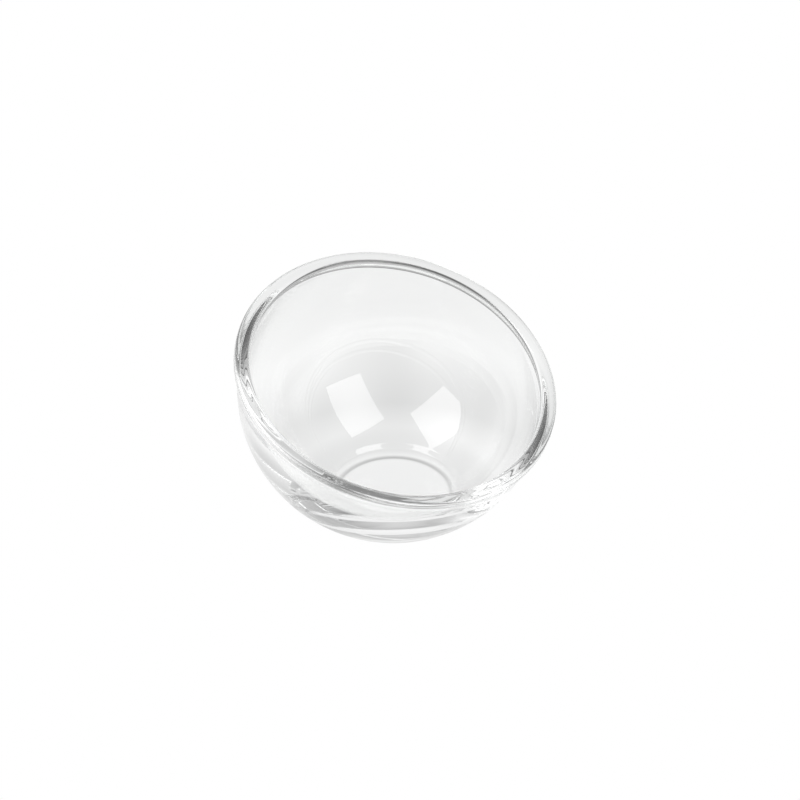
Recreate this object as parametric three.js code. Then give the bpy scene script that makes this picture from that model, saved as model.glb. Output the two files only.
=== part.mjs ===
// A glass dish in one piece: a ball-shaped bowl on a flat foot, with a slanted mouth and a rolled lip.
//
// Millimetres, +Z up. The origin is the centre of the foot, on the surface that the dish stands on.
// The mouth leans towards -Y: the low side of the lip is at -Y and the high side at +Y.
//
// The wall is turned as an upright lathe profile, drawn as (radius, height) from the ball's centre.
// Its rings are then swung about the ball's centre, from no swing at the foot to the full slant at the lip.
// A ring of the ball stays on the ball however it is swung, so the bowl stays round and the wall keeps its
// thickness.

import * as THREE from "three";

// Body
const ballRadius = 43; // outside of the ball
const ballCentreHeight = 39.5; // above the foot
const footEdgeRadius = 3; // round between the foot and the ball

// Inside
const hollowRadius = 40.8;
const hollowLift = 2.4; // hollow's centre above the ball's, so the wall thickens towards the foot
const floorThickness = 4.4;
const floorRadius = 17.6; // flat floor, out to the foot of the step
const stepRadius = 18.85; // where the step meets the hollow's wall
const stepRound = 0.3;
const floorRound = 0.5; // at the foot of the step

// Mouth and lip
const mouthSlant = THREE.MathUtils.degToRad(18.4);
const lipHeight = 3.8; // lip's middle above the ball's centre, square to the mouth
const lipOuterRadius = 45.1;
const lipHalfThickness = 1.65;
const lipSquareness = 2.6; // 2 is an ellipse; more is squarer
const neckDrop = 2.2; // from the lip's middle down to where the ball starts to flare
const lipUndersideAngle = THREE.MathUtils.degToRad(-75); // where the flare meets the rolled lip

// Facets
const facetsAround = 72;
const ballSteps = 15;
const hollowSteps = 14;
const lipSteps = 11;
const neckSteps = 4;
const edgeSteps = 4;
const cornerSteps = 2;
const samePoint = 0.001; // points closer than this are one

const straightDown = -Math.PI / 2;
const foot = -ballCentreHeight;
const floor = foot + floorThickness;
const stepAngle = -Math.acos(stepRadius / hollowRadius);
const stepTop = new THREE.Vector2(stepRadius, hollowLift + hollowRadius * Math.sin(stepAngle));
const stepFoot = new THREE.Vector2(floorRadius, floor);

// Points along an arc or an ellipse, turning the short way from one angle to the other.
function arc(centreX, centreY, radiusX, radiusY, fromAngle, toAngle, steps) {
  const clockwise = toAngle < fromAngle;
  const curve = new THREE.EllipseCurve(centreX, centreY, radiusX, radiusY, fromAngle, toAngle, clockwise);
  return curve.getPoints(steps);
}

// A round that rests on a level plane and touches a circle from inside: its centre, and the angle at which
// it leaves the circle.
function roundAgainstCircle(circleY, circleRadius, planeY, radius) {
  const y = planeY + radius;
  const x = Math.sqrt((circleRadius - radius) ** 2 - (y - circleY) ** 2);
  return { x, y, angle: Math.atan2(y - circleY, x) };
}

// The flare under the lip: a smooth curve from the ball to the rolled lip, level with both at its ends.
function neckPoints(lipCentre, lipHalfWidth, startAngle) {
  const start = new THREE.Vector2(Math.cos(startAngle), Math.sin(startAngle)).multiplyScalar(ballRadius);
  const startDirection = new THREE.Vector2(-Math.sin(startAngle), Math.cos(startAngle));
  const end = lipPoints(lipCentre, lipHalfWidth)[0];
  const endDirection = new THREE.Vector2(
    -lipHalfWidth * Math.sin(lipUndersideAngle),
    lipHalfThickness * Math.cos(lipUndersideAngle),
  ).normalize();
  const reach = start.distanceTo(end) * 0.45;
  const curve = new THREE.CubicBezierCurve(
    start,
    start.clone().addScaledVector(startDirection, reach),
    end.clone().addScaledVector(endDirection, -reach),
    end,
  );
  return curve.getPoints(neckSteps);
}

// The rolled lip, from where the flare meets it, over the top, to the hollow.
function lipPoints(centre, halfWidth) {
  const power = 2 / lipSquareness;
  const squared = (value) => Math.sign(value) * Math.abs(value) ** power;
  return Array.from({ length: lipSteps + 1 }, (_, step) => {
    const angle = lipUndersideAngle + ((Math.PI - lipUndersideAngle) * step) / lipSteps;
    return new THREE.Vector2(
      centre + halfWidth * squared(Math.cos(angle)),
      lipHeight + lipHalfThickness * squared(Math.sin(angle)),
    );
  });
}

// A small round in place of the corner between two points.
function roundedCorner(before, corner, after) {
  return new THREE.QuadraticBezierCurve(before, corner, after).getPoints(cornerSteps);
}

// The point at a distance from start on the way to end.
function onTheWay(start, end, distance) {
  return start.clone().lerp(end, distance / start.distanceTo(end));
}

// One list of points, without the repeats where one run ends and the next begins.
function joinRuns(runs) {
  const points = runs.flat();
  return points.filter((point, index) => index === 0 || point.distanceTo(points[index - 1]) > samePoint);
}

// The whole closed section, from the middle of the foot out, up over the lip and down to the floor's middle.
function profile() {
  const footEdge = roundAgainstCircle(0, ballRadius, foot, footEdgeRadius);
  const hollowEnd = stepAngle + stepRound / hollowRadius;
  const hollowFoot = new THREE.Vector2(Math.cos(hollowEnd), Math.sin(hollowEnd)).multiplyScalar(hollowRadius);
  hollowFoot.y += hollowLift;
  const neckAngle = Math.asin((lipHeight - neckDrop) / ballRadius);
  const hollowTopAngle = Math.asin((lipHeight - hollowLift) / hollowRadius);
  const lipInnerRadius = hollowRadius * Math.cos(hollowTopAngle);
  const lipHalfWidth = (lipOuterRadius - lipInnerRadius) / 2;
  const lipCentre = lipInnerRadius + lipHalfWidth;
  const runs = [
    [new THREE.Vector2(0, foot)],
    arc(footEdge.x, footEdge.y, footEdgeRadius, footEdgeRadius, straightDown, footEdge.angle, edgeSteps),
    arc(0, 0, ballRadius, ballRadius, footEdge.angle, neckAngle, ballSteps),
    neckPoints(lipCentre, lipHalfWidth, neckAngle),
    lipPoints(lipCentre, lipHalfWidth),
    arc(0, hollowLift, hollowRadius, hollowRadius, hollowTopAngle, hollowEnd, hollowSteps),
    roundedCorner(hollowFoot, stepTop, onTheWay(stepTop, stepFoot, stepRound)),
    roundedCorner(
      onTheWay(stepFoot, stepTop, floorRound),
      stepFoot,
      new THREE.Vector2(floorRadius - floorRound, floor),
    ),
    [new THREE.Vector2(0, floor)],
  ];
  return {
    section: joinRuns(runs),
    swingStart: Math.atan2(stepTop.x, -stepTop.y),
    swingEnd: Math.PI / 2 + neckAngle,
  };
}

// Swings each ring about the ball's centre by its share of the mouth's slant. The share grows with the ring's
// angle from straight down, from none at the top of the step to all of it where the lip begins.
function slant(geometry, swingStart, swingEnd) {
  const position = geometry.attributes.position;
  const point = new THREE.Vector3();
  const down = new THREE.Vector3(0, 0, -1);
  const sideways = new THREE.Vector3(1, 0, 0);
  for (let index = 0; index < position.count; index += 1) {
    point.fromBufferAttribute(position, index);
    const share = THREE.MathUtils.smoothstep(point.angleTo(down), swingStart, swingEnd);
    point.applyAxisAngle(sideways, share * mouthSlant);
    position.setXYZ(index, point.x, point.y, point.z);
  }
  geometry.computeVertexNormals();
}

function makeBowl() {
  const { section, swingStart, swingEnd } = profile();
  const geometry = new THREE.LatheGeometry(section, facetsAround);
  geometry.rotateX(Math.PI / 2);
  slant(geometry, swingStart, swingEnd);
  const clearGlass = new THREE.MeshStandardMaterial({
    color: 0xf3f6f6,
    roughness: 0.03,
    metalness: 0,
    transparent: true,
    opacity: 0.35,
  });
  const bowl = new THREE.Mesh(geometry, clearGlass);
  bowl.name = "glass_bowl";
  bowl.position.z = ballCentreHeight;
  return bowl;
}

const group = new THREE.Group();
group.add(makeBowl());

export default group;
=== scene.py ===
"""Looks for the slant-mouth glass dish: its fine glass surface, the glass itself, a pale studio and a camera.

Metres, +Z up, in the CAD model's frame: the origin is the middle of the foot, and the mouth leans to -Y.
"""

import math

import bpy
import numpy as np
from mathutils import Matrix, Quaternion, Vector, noise


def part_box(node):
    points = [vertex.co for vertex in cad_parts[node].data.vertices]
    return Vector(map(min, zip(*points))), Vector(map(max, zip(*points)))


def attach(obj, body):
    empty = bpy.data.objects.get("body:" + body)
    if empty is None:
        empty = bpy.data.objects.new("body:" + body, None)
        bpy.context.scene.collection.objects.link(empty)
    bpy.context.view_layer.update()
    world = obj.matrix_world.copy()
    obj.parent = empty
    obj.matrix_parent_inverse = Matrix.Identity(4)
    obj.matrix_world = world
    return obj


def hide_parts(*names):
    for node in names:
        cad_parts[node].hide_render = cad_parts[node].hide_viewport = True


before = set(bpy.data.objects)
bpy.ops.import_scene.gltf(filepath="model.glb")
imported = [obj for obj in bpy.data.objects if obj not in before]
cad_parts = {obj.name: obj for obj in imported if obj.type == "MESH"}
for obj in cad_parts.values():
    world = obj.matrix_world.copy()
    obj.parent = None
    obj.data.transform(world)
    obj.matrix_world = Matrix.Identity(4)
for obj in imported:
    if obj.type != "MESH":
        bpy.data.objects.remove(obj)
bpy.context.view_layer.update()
cad_box_low, cad_box_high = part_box("glass_bowl")

MM = 0.001

# The dish, as in the CAD model
BALL_RADIUS = 43 * MM
BALL_CENTRE_HEIGHT = 39.5 * MM
FOOT_EDGE_RADIUS = 3 * MM
HOLLOW_RADIUS = 40.8 * MM
HOLLOW_LIFT = 2.4 * MM  # hollow's centre above the ball's
FLOOR_THICKNESS = 4.4 * MM
FLOOR_RADIUS = 17.6 * MM
STEP_RADIUS = 18.85 * MM
STEP_ROUND = 0.3 * MM
FLOOR_ROUND = 0.5 * MM  # at the foot of the step
MOUTH_SLANT = math.radians(18.4)
LIP_HEIGHT = 3.8 * MM  # lip's middle above the ball's centre, square to the mouth
LIP_OUTER_RADIUS = (cad_box_high.x - cad_box_low.x) / 2
LIP_HALF_THICKNESS = 1.65 * MM
LIP_SQUARENESS = 2.6  # 2 is an ellipse; more is squarer
NECK_DROP = 2.2 * MM  # from the lip's middle down to where the ball starts to flare
NECK_FULLNESS = 0.45  # reach of the flare's handles, as a share of its length
LIP_UNDERSIDE_ANGLE = math.radians(-75)  # where the flare meets the rolled lip

# How finely the surface is cut
FACETS_AROUND = 288
FLAT_STEPS = 12
EDGE_STEPS = 12
CORNER_STEPS = 8
BALL_STEPS = 60
HOLLOW_STEPS = 60
NECK_STEPS = 12
LIP_STEPS = 56
SAME_POINT = 0.001 * MM  # points closer than this are one

# Unevenness left by moulding and fire-polishing
WALL_WAVE_HEIGHT = 0.01 * MM
WALL_WAVE_LENGTH = 14 * MM
WAVE_FREE_RADIUS = 8 * MM  # the waves fade out from here to the middle of the foot and the floor
INSIDE_WAVE_SHIFT = 7  # gives the inside and the outside of the wall different waves
LIP_STREAK_HEIGHT = 0.02 * MM
LIP_STREAK_WIDTH = 0.9 * MM
LIP_STREAK_CHANGES = 3  # how quickly the streaks change round the lip
FOOT_DISH_DEPTH = 0.3 * MM
FOOT_DISH_SPREAD = 0.8  # share of the foot's radius that is hollowed
FOOT_SURFACE_TOP = 0.1 * MM  # points lower than this belong to the foot

# Glass
GLASS_COLOUR = (0.99, 0.995, 0.992, 1)
GLASS_IOR = 1.52
RIPPLE_SCALE = 260  # per metre
RIPPLE_DETAIL = 2
RIPPLE_STRENGTH = 0.02
RIPPLE_HEIGHT = 0.02 * MM
GLASS_BOUNCES = 32

# Camera
CAMERA_DISTANCE = 19 * BALL_RADIUS  # from the ball's centre
CAMERA_AZIMUTH = math.radians(-42)
CAMERA_ELEVATION = math.radians(36.25)
CAMERA_LENS = 133.8
AIM_RIGHT = 1.8 * MM
AIM_DOWN = 3.7 * MM
CLIP_START = 0.01
CLIP_END = 20

# Table. Each stop is a distance from the dish's middle, in millimetres, and the brightness there, which is
# painted
# light and shade: painted shade round the foot, painted light on the camera's side. The side towards the
# camera and the far side have their own stops, and the table blends from one to the other round the dish. The
# stops began as the result of a least-squares fit to a photograph's tones and were then changed. The dark
# stops at 16 and 16.6 were added for the thin grey arc in the dish's floor: a painted dark ring, painted
# shade at the foot's edge.
STAGE_RADIUS = 4
STAGE_CORNERS = 96
STAGE_DROP = 0.02 * MM  # keeps the table clear of the foot
FLOOR_EDGE = 0.5  # the brightness is even beyond this
FLOOR_SCALE = 3  # brightness at the top of the ramps
PAINTED_FLOOR_SHADING_NEAR = (
    (0, 0.95), (16.4, 0.95), (19.5, 0.83), (28, 0.83), (33, 1.03), (45, 1.05), (60, 1.25), (72, 1.8),
    (90, 1.8), (105, 1.4), (140, 1.4), (160, 1.6), (400, 1.5),
)
PAINTED_FLOOR_SHADING_AWAY = (
    (0, 0.95), (15.4, 0.95), (16, 0.5), (16.6, 0.5), (17.2, 0.95), (19.5, 0.83), (28, 0.83), (33, 0.86),
    (45, 0.76), (60, 0.84), (75, 0.89), (100, 0.89), (130, 0.89), (165, 0.08), (205, 0.08), (240, 0.24),
    (380, 0.24), (450, 0.6),
)

# Soft lights: degrees round from the camera towards its right, degrees up, width, height, roll in degrees
SOFTBOXES = ((51, 46, 0.6, 0.8, -8), (-69, 50, 0.7, 0.64, -2))
SOFTBOX_DISTANCE = 1.0
SOFTBOX_RADIANCE = 3.1

# Soft patches of light in the room: degrees round from the camera towards its right, degrees up, brightness.
# Another program worked out the brightnesses, by a least-squares fit to a photograph's tones. Only those at
# 150, 180 and 210 degrees round and 4 degrees up were then changed.
ROOM_PATCHES = (
    (90, 4, 1.38), (120, 4, 0.06), (150, 4, 0.25), (180, 4, 0.3), (210, 4, 0.35), (240, 4, 0.91),
    (300, 4, 0.56), (330, 4, 1.08), (30, 4, 0.36), (60, 4, 1.29), (120, 24, 0.25), (150, 24, 0.22),
    (180, 24, 0.29), (240, 24, 0.74), (270, 24, 0.07), (30, 24, 0.23), (90, 46, 0.57), (270, 46, 1.52),
    (315, 46, 0.81), (45, 46, 0.96), (180, 72, 0.67), (270, 72, 0.09), (0, 72, 0.27),
)
ROOM_PATCH_FOCUS = 16  # higher is smaller


def arc(centre_x, centre_y, radius_x, radius_y, from_angle, to_angle, steps):
    """Points along an arc or ellipse."""
    angles = np.linspace(from_angle, to_angle, steps + 1)
    return np.column_stack([centre_x + radius_x * np.cos(angles), centre_y + radius_y * np.sin(angles)])


def straight(start, end, steps):
    """Points along a straight run, closer together towards its outer end."""
    share = np.sin(np.linspace(0, math.pi / 2, steps + 1))[:, None]
    return np.array(start) * (1 - share) + np.array(end) * share


def rounded(before, corner, after, steps):
    """Points along a small round that takes the place of a corner."""
    t = np.linspace(0, 1, steps + 1)[:, None]
    return (1 - t) ** 2 * np.array(before) + 2 * (1 - t) * t * np.array(corner) + t**2 * np.array(after)


def towards(start, end, distance):
    """The point at a distance from start on the way to end."""
    start = np.array(start)
    step = np.array(end) - start
    return start + distance * step / np.linalg.norm(step)


def round_against_circle(circle_y, circle_radius, plane_y, radius):
    """Centre of a round that rests on a level plane inside a circle, and the angle where the two meet."""
    y = plane_y + radius
    x = math.sqrt((circle_radius - radius) ** 2 - (y - circle_y) ** 2)
    return x, y, math.atan2(y - circle_y, x)


def neck(lip_centre, lip_half_width, start_angle):
    """The flare under the lip, from the ball to the rolled lip."""
    start = BALL_RADIUS * np.array([math.cos(start_angle), math.sin(start_angle)])
    start_direction = np.array([-math.sin(start_angle), math.cos(start_angle)])
    cos_end = math.cos(LIP_UNDERSIDE_ANGLE)
    sin_end = math.sin(LIP_UNDERSIDE_ANGLE)
    end = lip(lip_centre, lip_half_width)[0]
    end_direction = np.array([-lip_half_width * sin_end, LIP_HALF_THICKNESS * cos_end])
    end_direction /= np.linalg.norm(end_direction)
    reach = NECK_FULLNESS * np.linalg.norm(end - start)
    t = np.linspace(0, 1, NECK_STEPS + 1)[:, None]
    first = start + reach * start_direction
    second = end - reach * end_direction
    return (
        (1 - t) ** 3 * start + 3 * (1 - t) ** 2 * t * first + 3 * (1 - t) * t**2 * second + t**3 * end
    )


def lip(centre, half_width):
    """The rolled lip, from where the flare meets it, over the top, to the hollow."""
    angles = np.linspace(LIP_UNDERSIDE_ANGLE, math.pi, LIP_STEPS + 1)
    power = 2 / LIP_SQUARENESS
    across = np.sign(np.cos(angles)) * np.abs(np.cos(angles)) ** power
    up = np.sign(np.sin(angles)) * np.abs(np.sin(angles)) ** power
    return np.column_stack([centre + half_width * across, LIP_HEIGHT + LIP_HALF_THICKNESS * up])


def section():
    """The section of the wall, and where the slant starts and ends, as angles from straight down.

    The section is (radius, height) from the ball's centre. It runs from the middle of the foot out, up over
    the lip and down to the middle of the floor.
    """
    foot = -BALL_CENTRE_HEIGHT
    floor = foot + FLOOR_THICKNESS
    edge_x, edge_y, edge_angle = round_against_circle(0, BALL_RADIUS, foot, FOOT_EDGE_RADIUS)
    step_angle = -math.acos(STEP_RADIUS / HOLLOW_RADIUS)
    step_top = (STEP_RADIUS, HOLLOW_LIFT + HOLLOW_RADIUS * math.sin(step_angle))
    step_foot = (FLOOR_RADIUS, floor)
    floor_edge = (FLOOR_RADIUS - FLOOR_ROUND, floor)
    hollow_end = step_angle + STEP_ROUND / HOLLOW_RADIUS
    hollow_foot = HOLLOW_RADIUS * np.array([math.cos(hollow_end), math.sin(hollow_end)]) + [0, HOLLOW_LIFT]
    neck_angle = math.asin((LIP_HEIGHT - NECK_DROP) / BALL_RADIUS)
    hollow_top = math.asin((LIP_HEIGHT - HOLLOW_LIFT) / HOLLOW_RADIUS)
    lip_inner = HOLLOW_RADIUS * math.cos(hollow_top)
    lip_half_width = (LIP_OUTER_RADIUS - lip_inner) / 2
    lip_centre = lip_inner + lip_half_width
    down = -math.pi / 2
    runs = [
        straight((0, foot), (edge_x, foot), FLAT_STEPS),
        arc(edge_x, edge_y, FOOT_EDGE_RADIUS, FOOT_EDGE_RADIUS, down, edge_angle, EDGE_STEPS),
        arc(0, 0, BALL_RADIUS, BALL_RADIUS, edge_angle, neck_angle, BALL_STEPS),
        neck(lip_centre, lip_half_width, neck_angle),
        lip(lip_centre, lip_half_width),
        arc(0, HOLLOW_LIFT, HOLLOW_RADIUS, HOLLOW_RADIUS, hollow_top, hollow_end, HOLLOW_STEPS),
        rounded(hollow_foot, step_top, towards(step_top, step_foot, STEP_ROUND), CORNER_STEPS),
        rounded(towards(step_foot, step_top, FLOOR_ROUND), step_foot, floor_edge, CORNER_STEPS),
        straight((0, floor), floor_edge, FLAT_STEPS)[::-1],
    ]
    points = np.concatenate(runs)
    step = np.linalg.norm(np.diff(points, axis=0, prepend=points[:1] - 1), axis=1)
    points = points[step > SAME_POINT]
    slant_start = math.atan2(STEP_RADIUS, -step_top[1])
    return points, slant_start, math.pi / 2 + neck_angle


def smoothstep(value, low, high):
    share = np.clip((value - low) / (high - low), 0, 1)
    return share * share * (3 - 2 * share)


def slanted(points, slant_start, slant_end):
    """Swings each ring about the ball's centre by its share of the mouth's slant."""
    from_down = np.arccos(np.clip(-points[..., 2] / np.linalg.norm(points, axis=-1), -1, 1))
    angle = MOUTH_SLANT * smoothstep(from_down, slant_start, slant_end)
    turned = points.copy()
    turned[..., 1] = points[..., 1] * np.cos(angle) - points[..., 2] * np.sin(angle)
    turned[..., 2] = points[..., 1] * np.sin(angle) + points[..., 2] * np.cos(angle)
    return turned


def unevenness(profile, outward, around):
    """How far each point of the smooth surface is pushed out: waves all over and streaks along the lip."""
    along = np.concatenate([[0], np.cumsum(np.linalg.norm(np.diff(profile, axis=0), axis=1))])
    lip_share = smoothstep(profile[:, 1], LIP_HEIGHT - 2 * NECK_DROP, LIP_HEIGHT - LIP_HALF_THICKNESS)
    push = np.zeros((len(profile), FACETS_AROUND))
    for ring, (radius, height) in enumerate(profile):
        wave_share = smoothstep(radius, 0, WAVE_FREE_RADIUS)
        side = Vector((0, 0, INSIDE_WAVE_SHIFT * outward[ring]))
        for facet, angle in enumerate(around):
            x, y = radius * math.cos(angle), radius * math.sin(angle)
            wave = noise.noise(Vector((x, y, height)) / WALL_WAVE_LENGTH + side)
            across = along[ring] / LIP_STREAK_WIDTH
            turn = LIP_STREAK_CHANGES * math.cos(angle), LIP_STREAK_CHANGES * math.sin(angle)
            streak = noise.noise(Vector((across, *turn)))
            wall_push = WALL_WAVE_HEIGHT * wave * wave_share
            push[ring, facet] = wall_push + LIP_STREAK_HEIGHT * streak * lip_share[ring]
    return push


def foot_hollow(points):
    """How far each point of the foot is raised, so that the dish stands on the foot's edge."""
    from_axis = np.linalg.norm(points[..., :2], axis=-1)
    foot_radius = math.sqrt(BALL_RADIUS**2 - BALL_CENTRE_HEIGHT**2)
    rise = FOOT_DISH_DEPTH * (1 - smoothstep(from_axis, 0, FOOT_DISH_SPREAD * foot_radius))
    return np.where(points[..., 2] < FOOT_SURFACE_TOP, rise, 0)


def glass_surface():
    """The dish's whole surface as one closed mesh."""
    profile, slant_start, slant_end = section()
    tangent = np.gradient(profile, axis=0)
    tangent /= np.linalg.norm(tangent, axis=1)[:, None]
    normal = np.column_stack([tangent[:, 1], -tangent[:, 0]])
    around = np.linspace(0, 2 * math.pi, FACETS_AROUND, endpoint=False)
    outward = np.sign((normal * profile).sum(axis=1))
    push = unevenness(profile, outward, around)
    radius = profile[:, :1] + normal[:, :1] * push
    height = profile[:, 1:] + normal[:, 1:] * push
    rings = np.stack([radius * np.cos(around), radius * np.sin(around), height], axis=-1)[1:-1]
    points = slanted(rings, slant_start, slant_end)
    points[..., 2] += BALL_CENTRE_HEIGHT
    points[..., 2] += foot_hollow(points)
    points[..., 2] = np.maximum(points[..., 2], 0)
    count = len(points)
    vertices = points.reshape(-1, 3)
    foot_middle = len(vertices)
    floor_middle = foot_middle + 1
    vertices = np.vstack([vertices, [0, 0, FOOT_DISH_DEPTH], [0, 0, FLOOR_THICKNESS]])
    faces = []
    for facet in range(FACETS_AROUND):
        after = (facet + 1) % FACETS_AROUND
        faces.append((foot_middle, after, facet))
        last = (count - 1) * FACETS_AROUND
        faces.append((floor_middle, last + facet, last + after))
        for ring in range(count - 1):
            base = ring * FACETS_AROUND
            above = base + FACETS_AROUND
            faces.append((base + facet, base + after, above + after, above + facet))
    mesh = bpy.data.meshes.new("glass_dish")
    mesh.from_pydata(vertices.tolist(), [], faces)
    mesh.shade_smooth()
    mesh.validate()
    return mesh


def clear_glass():
    """Clear, colourless soda-lime glass with a hint of surface ripple."""
    material = bpy.data.materials.new("clear_glass")
    material.use_nodes = True
    nodes = material.node_tree.nodes
    links = material.node_tree.links
    shader = nodes["Principled BSDF"]
    shader.inputs["Base Color"].default_value = GLASS_COLOUR
    shader.inputs["Roughness"].default_value = 0.0
    shader.inputs["IOR"].default_value = GLASS_IOR
    shader.inputs["Transmission Weight"].default_value = 1.0
    place = nodes.new("ShaderNodeTexCoord")
    ripple = nodes.new("ShaderNodeTexNoise")
    ripple.inputs["Scale"].default_value = RIPPLE_SCALE
    ripple.inputs["Detail"].default_value = RIPPLE_DETAIL
    bump = nodes.new("ShaderNodeBump")
    bump.inputs["Strength"].default_value = RIPPLE_STRENGTH
    bump.inputs["Distance"].default_value = RIPPLE_HEIGHT
    links.new(place.outputs["Object"], ripple.inputs["Vector"])
    links.new(ripple.outputs["Fac"], bump.inputs["Height"])
    links.new(bump.outputs["Normal"], shader.inputs["Normal"])
    return material


def make_dish():
    dish = bpy.data.objects.new("glass_dish", glass_surface())
    bpy.context.scene.collection.objects.link(dish)
    dish.data.materials.append(clear_glass())
    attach(dish, "root")
    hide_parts("glass_bowl")


def direction(azimuth, elevation):
    """Unit vector from the dish towards something seen at that azimuth and elevation, 0 azimuth being -Y."""
    level = math.cos(elevation)
    return Vector((math.sin(azimuth) * level, -math.cos(azimuth) * level, math.sin(elevation)))


def make_camera():
    back = direction(CAMERA_AZIMUTH, CAMERA_ELEVATION)
    right = Vector((math.cos(CAMERA_AZIMUTH), math.sin(CAMERA_AZIMUTH), 0))
    up = back.cross(right)
    centre = Vector((0, 0, BALL_CENTRE_HEIGHT))
    aim = centre + AIM_RIGHT * right - AIM_DOWN * up
    data = bpy.data.cameras.new("camera")
    data.lens = CAMERA_LENS
    data.clip_start = CLIP_START
    data.clip_end = CLIP_END
    camera = bpy.data.objects.new("camera", data)
    camera.location = centre + CAMERA_DISTANCE * back
    camera.rotation_euler = (aim - camera.location).to_track_quat("-Z", "Y").to_euler()
    bpy.context.scene.collection.objects.link(camera)
    bpy.context.scene.camera = camera


def white_to_the_camera(tree, studio_shader):
    """Shows plain white where the camera looks straight at it, and the studio where the glass shows it."""
    white = tree.nodes.new("ShaderNodeEmission")
    path = tree.nodes.new("ShaderNodeLightPath")
    choose = tree.nodes.new("ShaderNodeMixShader")
    tree.links.new(path.outputs["Is Camera Ray"], choose.inputs["Fac"])
    tree.links.new(studio_shader.outputs[0], choose.inputs[1])
    tree.links.new(white.outputs[0], choose.inputs[2])
    output = tree.nodes.get("World Output") or tree.nodes["Material Output"]
    tree.links.new(choose.outputs[0], output.inputs["Surface"])


def painted_shading_ramp(tree, position, stops):
    """A node that gives the table's brightness, as a share of FLOOR_SCALE, from a position on the ramp.

    A position is the square root of a distance's share of FLOOR_EDGE, which gives fine steps near the dish.
    """
    # Each stop of this ramp is painted light or painted shade on the table.
    ramp = tree.nodes.new("ShaderNodeValToRGB")
    elements = ramp.color_ramp.elements
    while len(elements) < len(stops):
        elements.new(1)
    for element, (distance, brightness) in zip(elements, stops):
        element.position = math.sqrt(distance * MM / FLOOR_EDGE)
        element.color = [brightness / FLOOR_SCALE] * 3 + [1]
    tree.links.new(position, ramp.inputs["Fac"])
    return ramp.outputs["Color"]


def make_floor():
    """A table that the camera sees as plain white.

    The glass sees painted light and shade on it: painted shade under the dish, a painted dark ring at the
    foot's edge, painted light on the camera's side, and dark far behind.
    """
    mesh = bpy.data.meshes.new("floor")
    angles = np.linspace(0, 2 * math.pi, STAGE_CORNERS, endpoint=False)
    corners = [(STAGE_RADIUS * math.cos(angle), STAGE_RADIUS * math.sin(angle), 0) for angle in angles]
    mesh.from_pydata(corners, [], [range(STAGE_CORNERS)])
    floor = bpy.data.objects.new("floor", mesh)
    floor.location.z = -STAGE_DROP
    bpy.context.scene.collection.objects.link(floor)
    material = bpy.data.materials.new("pale_floor_painted_shading")
    material.use_nodes = True
    tree = material.node_tree
    tree.nodes.remove(tree.nodes["Principled BSDF"])
    shader = tree.nodes.new("ShaderNodeEmission")
    shader.inputs["Strength"].default_value = FLOOR_SCALE
    place = tree.nodes.new("ShaderNodeTexCoord")
    distance = tree.nodes.new("ShaderNodeVectorMath")
    distance.operation = "LENGTH"
    tree.links.new(place.outputs["Object"], distance.inputs[0])
    share = tree.nodes.new("ShaderNodeMath")
    share.operation = "DIVIDE"
    share.inputs[1].default_value = FLOOR_EDGE
    tree.links.new(distance.outputs["Value"], share.inputs[0])
    finer_near_the_dish = tree.nodes.new("ShaderNodeMath")
    finer_near_the_dish.operation = "SQRT"
    tree.links.new(share.outputs["Value"], finer_near_the_dish.inputs[0])
    place_on_ramp = finer_near_the_dish.outputs["Value"]
    # Blends the far side's painted light and shade into the camera side's, round the dish.
    outward = tree.nodes.new("ShaderNodeVectorMath")
    outward.operation = "NORMALIZE"
    tree.links.new(place.outputs["Object"], outward.inputs[0])
    side = tree.nodes.new("ShaderNodeVectorMath")
    side.operation = "DOT_PRODUCT"
    side.inputs[1].default_value = direction(CAMERA_AZIMUTH, 0)
    tree.links.new(outward.outputs["Vector"], side.inputs[0])
    nearness = tree.nodes.new("ShaderNodeMapRange")
    nearness.inputs["From Min"].default_value = -1
    tree.links.new(side.outputs["Value"], nearness.inputs["Value"])
    blend = tree.nodes.new("ShaderNodeMixRGB")
    tree.links.new(nearness.outputs["Result"], blend.inputs["Fac"])
    tree.links.new(painted_shading_ramp(tree, place_on_ramp, PAINTED_FLOOR_SHADING_AWAY), blend.inputs["Color1"])
    tree.links.new(painted_shading_ramp(tree, place_on_ramp, PAINTED_FLOOR_SHADING_NEAR), blend.inputs["Color2"])
    tree.links.new(blend.outputs["Color"], shader.inputs["Color"])
    white_to_the_camera(tree, shader)
    mesh.materials.append(material)


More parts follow.
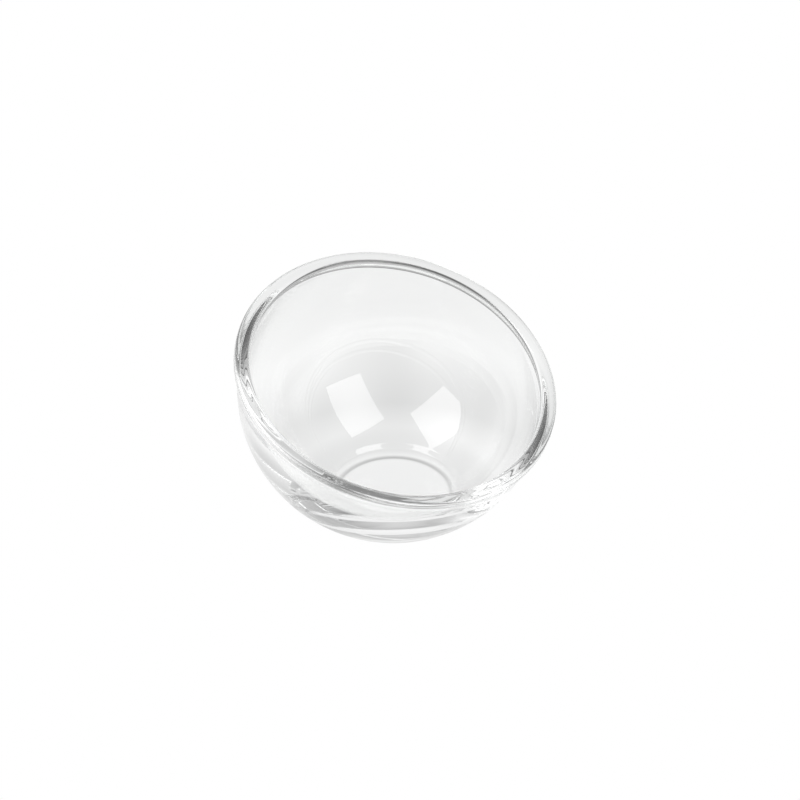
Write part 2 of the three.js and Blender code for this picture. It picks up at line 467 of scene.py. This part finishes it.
def make_softbox(name, side, elevation, width, height, roll):
    """A rectangular soft light that faces the dish.

    It shows only as a reflection, not through the glass, where it would wash out the lip. An area light of
    power P and area A has radiance P / (pi A).
    """
    data = bpy.data.lights.new(name, "AREA")
    data.shape = "RECTANGLE"
    data.size = width
    data.size_y = height
    data.energy = SOFTBOX_RADIANCE * math.pi * width * height
    light = bpy.data.objects.new(name, data)
    centre = Vector((0, 0, BALL_CENTRE_HEIGHT))
    out = direction(CAMERA_AZIMUTH + math.radians(side), math.radians(elevation))
    light.location = centre + SOFTBOX_DISTANCE * out
    facing = out.to_track_quat("Z", "Y") @ Quaternion((0, 0, 1), math.radians(roll))
    light.rotation_euler = facing.to_euler()
    light.visible_camera = False
    light.visible_transmission = False
    bpy.context.scene.collection.objects.link(light)


def make_world():
    """The room round the table, as a sum of soft patches."""
    world = bpy.data.worlds.new("studio")
    bpy.context.scene.world = world
    world.use_nodes = True
    tree = world.node_tree
    place = tree.nodes.new("ShaderNodeTexCoord")
    room = tree.nodes["Background"]
    room.inputs["Color"].default_value = (1, 1, 1, 1)
    total = None
    for side, elevation, brightness in ROOM_PATCHES:
        facing = tree.nodes.new("ShaderNodeVectorMath")
        facing.operation = "DOT_PRODUCT"
        centre = direction(CAMERA_AZIMUTH + math.radians(side), math.radians(elevation))
        facing.inputs[1].default_value = centre
        tree.links.new(place.outputs["Generated"], facing.inputs[0])
        front = tree.nodes.new("ShaderNodeMath")
        front.operation = "MAXIMUM"
        front.inputs[1].default_value = 0
        tree.links.new(facing.outputs["Value"], front.inputs[0])
        patch = tree.nodes.new("ShaderNodeMath")
        patch.operation = "POWER"
        patch.inputs[1].default_value = ROOM_PATCH_FOCUS
        tree.links.new(front.outputs["Value"], patch.inputs[0])
        add = tree.nodes.new("ShaderNodeMath")
        add.operation = "MULTIPLY_ADD"
        add.inputs[1].default_value = brightness
        add.inputs[2].default_value = 0
        tree.links.new(patch.outputs["Value"], add.inputs[0])
        if total:
            tree.links.new(total, add.inputs[2])
        total = add.outputs["Value"]
    tree.links.new(total, room.inputs["Strength"])
    white_to_the_camera(tree, room)


def make_studio():
    make_floor()
    make_world()
    for number, softbox in enumerate(SOFTBOXES):
        make_softbox(f"softbox_{number}", *softbox)
    scene = bpy.context.scene
    scene.view_settings.view_transform = "Standard"
    scene.cycles.max_bounces = GLASS_BOUNCES
    scene.cycles.transmission_bounces = GLASS_BOUNCES
    scene.cycles.glossy_bounces = GLASS_BOUNCES


make_camera()
make_dish()
make_studio()
